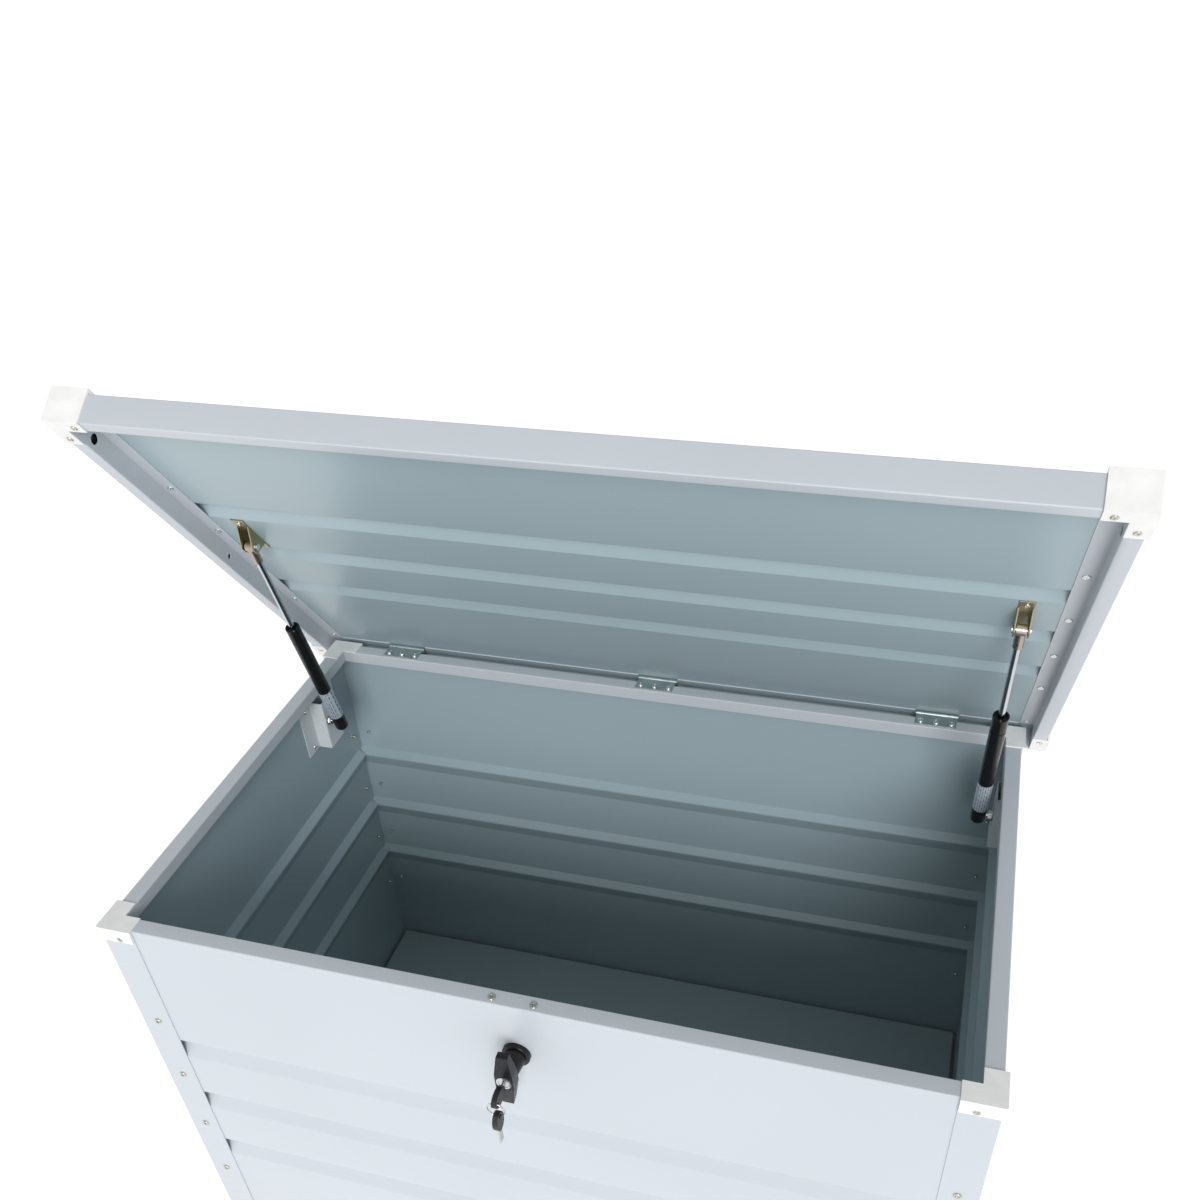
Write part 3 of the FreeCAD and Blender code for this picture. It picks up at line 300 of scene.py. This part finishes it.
def metal(name, colour, tint, roughness, stretch=(1.0, 1.0, 1.0), blotch=60.0):
    """Bare or plated metal: two tones in blotches, with fine drawn lines in its gloss.

    stretch scales the drawn lines' axes, and blotch is the blotches' scale.
    """
    material, nodes, links, shader, coordinates = start_material(name)
    place = coordinates.outputs["Object"]
    shader.inputs["Metallic"].default_value = 1.0
    blotches = noise(nodes, links, place, blotch, detail=3.0)
    factor = ranged(nodes, links, blotches, BLOTCH_MIDDLE, (0.0, 1.0))
    links.new(mix_colour(nodes, links, factor, colour, tint), shader.inputs["Base Color"])
    lines = noise(nodes, links, place, DRAWN_SCALE, detail=4.0, stretch=stretch)
    links.new(ranged(nodes, links, lines, NOISE_MIDDLE, scuffed(roughness)), shader.inputs["Roughness"])
    bump(nodes, links, shader, lines, DRAWN_DEPTH, DRAWN_STRENGTH)
    return material


def galvanised(name):
    """Hot-dip zinc with spangle."""
    material, nodes, links, shader, coordinates = start_material(name)
    place = coordinates.outputs["Object"]
    shader.inputs["Metallic"].default_value = SPANGLE_METALLIC
    cells = nodes.new("ShaderNodeTexVoronoi")
    cells.inputs["Scale"].default_value = SPANGLE_SCALE
    links.new(place, cells.inputs["Vector"])
    spangle = nodes.new("ShaderNodeSeparateColor")
    links.new(cells.outputs["Color"], spangle.inputs[0])
    colour = mix_colour(nodes, links, spangle.outputs[0], *SPANGLE_COLOURS)
    links.new(colour, shader.inputs["Base Color"])
    gloss = ranged(nodes, links, spangle.outputs[1], (0.0, 1.0), SPANGLE_ROUGHNESS)
    links.new(gloss, shader.inputs["Roughness"])
    return material


def key_material(name, bow_end, blade_start, axis):
    """Key: moulded bow and nickel blade, which meet between bow_end and blade_start along an axis."""
    material, nodes, links, shader, coordinates = start_material(name)
    place = coordinates.outputs["Object"]
    parts = nodes.new("ShaderNodeSeparateXYZ")
    links.new(place, parts.inputs[0])
    blade = ranged(nodes, links, parts.outputs[axis], (bow_end, blade_start), (0.0, 1.0))
    wear = noise(nodes, links, place, KEY_WEAR_SCALE, detail=3.0)
    shade = ranged(nodes, links, wear, NOISE_MIDDLE, KEY_WEAR_SHADES)
    colour = mix_colour(nodes, links, blade, BLACK_PLASTIC, KEY_NICKEL)
    links.new(mix_colour(nodes, links, 1.0, colour, shade, "MULTIPLY"), shader.inputs["Base Color"])
    links.new(blade, shader.inputs["Metallic"])
    links.new(ranged(nodes, links, blade, (0.0, 1.0), KEY_ROUGHNESS), shader.inputs["Roughness"])
    grain = noise(nodes, links, place, KEY_GRAIN_SCALE, detail=1.0)
    bump(nodes, links, shader, grain, GRAIN_DEPTH, KEY_GRAIN_STRENGTH)
    return material


def label_material(name, centre, down, across):
    """Silver-blue foil with rows of small blue-grey marks that spell nothing, laid out from the centre."""
    material, nodes, links, shader, coordinates = start_material(name)
    shader.inputs["Metallic"].default_value = LABEL_METALLIC
    moved = nodes.new("ShaderNodeVectorMath")
    moved.operation = "SUBTRACT"
    links.new(coordinates.outputs["Object"], moved.inputs[0])
    moved.inputs[1].default_value = centre
    grid = nodes.new("ShaderNodeCombineXYZ")
    links.new(along(nodes, links, moved.outputs[0], down), grid.inputs[0])
    links.new(along(nodes, links, moved.outputs[0], across), grid.inputs[1])
    marks = nodes.new("ShaderNodeTexBrick")
    marks.offset = MARK_SHIFT
    marks.inputs["Scale"].default_value = 1.0
    marks.inputs["Mortar Size"].default_value = MARK_GAP
    marks.inputs["Brick Width"].default_value = MARK_LENGTH
    marks.inputs["Row Height"].default_value = MARK_ROW
    marks.inputs["Color1"].default_value, marks.inputs["Color2"].default_value = LABEL_MARKS
    marks.inputs["Mortar"].default_value = LABEL_FOIL
    links.new(grid.outputs[0], marks.inputs["Vector"])
    links.new(marks.outputs["Color"], shader.inputs["Base Color"])
    wrinkles = noise(nodes, links, coordinates.outputs["Object"], WRINKLE_SCALE)
    gloss = ranged(nodes, links, wrinkles, NOISE_MIDDLE, WRINKLE_ROUGHNESS)
    links.new(gloss, shader.inputs["Roughness"])
    return material


def finish_node(name, material, edge=0.0):
    """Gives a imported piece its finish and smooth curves; edge is the radius of its edges, if rounded."""
    piece = NODES[name]
    piece.data.materials.clear()
    piece.data.materials.append(material)
    piece.data.polygons.foreach_set("use_smooth", [True] * len(piece.data.polygons))
    weld = piece.modifiers.new("weld", "WELD")
    weld.merge_threshold = WELD
    if edge:
        bevel = piece.modifiers.new("edges", "BEVEL")
        bevel.width = edge
        bevel.segments = BEVEL_STEPS
        bevel.limit_method = "ANGLE"
        bevel.angle_limit = SHARP
        normals = piece.modifiers.new("normals", "WEIGHTED_NORMAL")
        normals.keep_sharp = True
    else:
        split = piece.modifiers.new("creases", "EDGE_SPLIT")
        split.split_angle = SHARP


def finish_carcass():
    """Walls, floor, posts, rim caps and feet, and the lid's caps, which are of the same plastic."""
    outward = {"front_panel": FRONT, "rear_panel": REAR, "left_panel": LEFT, "right_panel": RIGHT}
    for name, direction in outward.items():
        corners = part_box(name)
        face = max(Vector(corner).dot(direction) for corner in corners)
        finish_node(name, paint("paint_" + name, direction, face - WALL_RELIEF))
    finish_node("floor_panel", paint("paint_floor", colour=PAINT_INSIDE))
    finish_node("floor_bearers", galvanised("galvanised"))
    post = paint("paint_posts")
    cap = moulded("cap_plastic", CAP_WHITE, roughness=0.45)
    for end in ("front", "rear"):
        for side in SIDES:
            corner = end + "_" + side
            finish_node("corner_post_" + corner, post)
            finish_node("rim_cap_" + corner, cap, CAP_EDGE)
            finish_node("lid_cap_" + corner, cap, CAP_EDGE)
    finish_node("feet", cap, CAP_EDGE)


def finish_lid():
    """Lid sheet and the rails round it."""
    panel = paint("paint_lid", LID_UP)
    finish_node("lid_panel", panel)
    finish_node("lid_rear_rail", panel)
    rails = paint("paint_rails")
    for side in ("front", "left", "right"):
        finish_node("lid_" + side + "_rail", rails)


def finish_metal():
    """Hinges, screws and brackets."""
    bright = metal("hinge_zinc", (0.60, 0.66, 0.66), (0.48, 0.54, 0.54), roughness=0.40,
                   stretch=(1.0, 8.0, 8.0))
    for name in ("hinge_box_leaves", "hinge_lid_leaves", "hinge_pins"):
        finish_node(name, bright, THIN_EDGE)
    yellow = metal("yellow_zinc", (0.66, 0.63, 0.53), (0.52, 0.52, 0.46), roughness=0.22,
                   blotch=SMALL_BLOTCHES)
    screws = (
        "post_screws", "rim_cap_screws", "hinge_lid_screws", "lid_cap_screws",
        "lid_bracket_screws", "latch_guide_screws",
    )
    for name in screws:
        finish_node(name, yellow, SCREW_EDGE)
    zinc = metal("zinc", (0.80, 0.82, 0.82), (0.66, 0.68, 0.68), roughness=0.22, blotch=SMALL_BLOTCHES)
    for name in ("hinge_box_screws", "lid_rail_screws", "wall_bracket_screws", "latch_guide"):
        finish_node(name, zinc, SCREW_EDGE)
    olive = metal("bracket_yellow", (0.46, 0.40, 0.24), (0.36, 0.35, 0.24), roughness=0.32,
                  stretch=(8.0, 8.0, 1.0), blotch=90.0)
    finish_node("lid_strut_brackets", olive, FITTING_EDGE)
    finish_node("lid_strut_pins", zinc, THIN_EDGE)
    wall = paint("paint_brackets", roughness=BRACKET_ROUGHNESS, colour=PAINT_BRACKET)
    for side in SIDES:
        finish_node(side + "_wall_bracket", wall)


def finish_struts():
    """Gas struts; their tubes are lacquered, which looks like plastic with almost no grain."""
    copper = metal("strut_eye", (0.50, 0.42, 0.33), (0.42, 0.38, 0.32), roughness=0.30)
    chrome = metal("rod_chrome", (0.62, 0.64, 0.66), (0.58, 0.60, 0.62), roughness=0.12,
                   stretch=(14.0, 2.0, 2.0))
    tube = moulded("tube_black", TUBE_BLACK, roughness=0.17, grain=0.1, shine=0.26)
    socket = moulded("black_plastic", BLACK_PLASTIC, roughness=0.30, shine=0.3)
    stud = metal("stud_steel", (0.68, 0.68, 0.66), (0.58, 0.59, 0.58), roughness=0.24)
    for side in SIDES:
        finish_node(side + "_strut_eye", copper, FITTING_EDGE)
        finish_node(side + "_strut_rod", chrome, THIN_EDGE)
        finish_node(side + "_strut_tube", tube, FITTING_EDGE)
        finish_node(side + "_strut_socket", socket, FITTING_EDGE)
        finish_node(side + "_strut_stud", stud, THIN_EDGE)


def finish_lock():
    """Lock, handle and keys; the key in the lock points back along Y and the spare key down along Z."""
    black = moulded("lock_black", BLACK_PLASTIC, roughness=0.32, shine=0.3)
    finish_node("lock_escutcheon", black, FITTING_EDGE)
    finish_node("handle", black, HANDLE_EDGE)
    chrome = metal("lock_chrome", (0.66, 0.66, 0.66), (0.60, 0.61, 0.62), roughness=0.16)
    for name in ("lock_bezel", "lock_plug", "key_ring"):
        finish_node(name, chrome, SCREW_EDGE)
    zinc = metal("lock_zinc", (0.62, 0.64, 0.63), (0.54, 0.56, 0.55), roughness=0.30)
    for name in ("lock_nut", "latch_cam"):
        finish_node(name, zinc, THIN_EDGE)
    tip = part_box("key")[1][1]
    material = key_material("key_in_lock", tip - KEY_BLADE - KEY_BLEND, tip - KEY_BLADE, "Y")
    finish_node("key", material, THIN_EDGE)
    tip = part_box("spare_key")[0][2]
    material = key_material("key_spare", tip + KEY_BLADE + KEY_BLEND, tip + KEY_BLADE, "Z")
    finish_node("spare_key", material, THIN_EDGE)


def strut_axis(side):
    """Upper pin of a strut and the unit direction from it down the tube."""
    pin = Vector(JOINTS[side + "_strut_pivot"]["pos_m"])
    return pin, Vector(JOINTS[side + "_strut_stroke"]["axis"])


def strut_label(side):
    """Foil label wrapped round the tube above its end fitting, with both ends brought down to the tube."""
    pin, down = strut_axis(side)
    across = Vector(RIGHT)
    out = across.cross(down)
    rings = (LABEL_START, LABEL_START + LABEL_EDGE, LABEL_END - LABEL_EDGE, LABEL_END)
    points = []
    for distance in rings:
        reach = LABEL_RADIUS + (LABEL_LIFT if LABEL_START < distance < LABEL_END else 0.0)
        for step in range(LABEL_STEPS + 1):
            angle = math.radians(-LABEL_TURN / 2 + LABEL_TURN * step / LABEL_STEPS)
            direction = out * -math.cos(angle) + across * math.sin(angle)
            points.append(pin + down * distance + direction * reach)
    faces = []
    for ring in range(len(rings) - 1):
        for step in range(LABEL_STEPS):
            first = ring * (LABEL_STEPS + 1) + step
            second = first + LABEL_STEPS + 1
            faces.append((first, first + 1, second + 1, second))
    mesh = bpy.data.meshes.new(side + "_strut_label")
    mesh.from_pydata(points, [], faces)
    mesh.polygons.foreach_set("use_smooth", [True] * len(mesh.polygons))
    piece = bpy.data.objects.new(side + "_strut_label", mesh)
    bpy.context.scene.collection.objects.link(piece)
    centre = pin + down * (LABEL_START + LABEL_END) / 2
    mesh.materials.append(label_material(side + "_label_foil", centre, down, across))
    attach(piece, side + "_tube")


def make_floor():
    """Pale seamless floor, lit a little from within so that it stays near white."""
    mesh = bpy.data.meshes.new("floor")
    angles = [2 * math.pi * step / FLOOR_STEPS for step in range(FLOOR_STEPS)]
    rim = [(FLOOR_RADIUS * math.cos(angle), FLOOR_RADIUS * math.sin(angle), 0.0) for angle in angles]
    mesh.from_pydata(rim, [], [tuple(range(FLOOR_STEPS))])
    floor = bpy.data.objects.new("floor", mesh)
    bpy.context.scene.collection.objects.link(floor)
    material, nodes, links, shader, coordinates = start_material("floor_pale")
    clouds = noise(nodes, links, coordinates.outputs["Object"], FLOOR_SCALE)
    links.new(ranged(nodes, links, clouds, NOISE_MIDDLE, FLOOR_SHADES), shader.inputs["Base Color"])
    shader.inputs["Roughness"].default_value = FLOOR_ROUGHNESS
    shader.inputs["Emission Color"].default_value = WHITE
    shader.inputs["Emission Strength"].default_value = FLOOR_GLOW
    mesh.materials.append(material)


def make_sky():
    """White studio: bright at the horizon and dimmer overhead."""
    world = bpy.data.worlds.new("studio")
    bpy.context.scene.world = world
    world.use_nodes = True
    nodes = world.node_tree.nodes
    links = world.node_tree.links
    coordinates = nodes.new("ShaderNodeTexCoord")
    parts = nodes.new("ShaderNodeSeparateXYZ")
    links.new(coordinates.outputs["Generated"], parts.inputs[0])
    strength = ranged(nodes, links, parts.outputs["Z"], SKY_HEIGHTS, (SKY_LOW, SKY_HIGH))
    links.new(strength, nodes["Background"].inputs["Strength"])
    nodes["Background"].inputs["Color"].default_value = WHITE


def make_light():
    """One broad soft key light from the front, a little to the right, as strong at the rear as in front."""
    data = bpy.data.lights.new("key", "SUN")
    data.energy = SUN_STRENGTH
    data.angle = math.radians(SUN_SPREAD)
    lamp = bpy.data.objects.new("key", data)
    bpy.context.scene.collection.objects.link(lamp)
    lamp.rotation_euler = (math.radians(90.0 - SUN_HEIGHT), 0.0, math.radians(-SUN_SIDE))


def make_camera():
    """Camera where the photograph was taken from."""
    data = bpy.data.cameras.new("camera")
    data.sensor_width = CAMERA_SENSOR
    data.lens = CAMERA_LENS
    data.shift_x, data.shift_y = CAMERA_SHIFT
    camera = bpy.data.objects.new("camera", data)
    bpy.context.scene.collection.objects.link(camera)
    camera.location = CAMERA_PLACE
    camera.rotation_euler = [math.radians(angle) for angle in CAMERA_TURN]
    bpy.context.scene.camera = camera


finish_carcass()
finish_lid()
finish_metal()
finish_struts()
finish_lock()
for strut_side in SIDES:
    strut_label(strut_side)
make_floor()
make_sky()
make_light()
make_camera()
bpy.context.scene.view_settings.view_transform = "Standard"
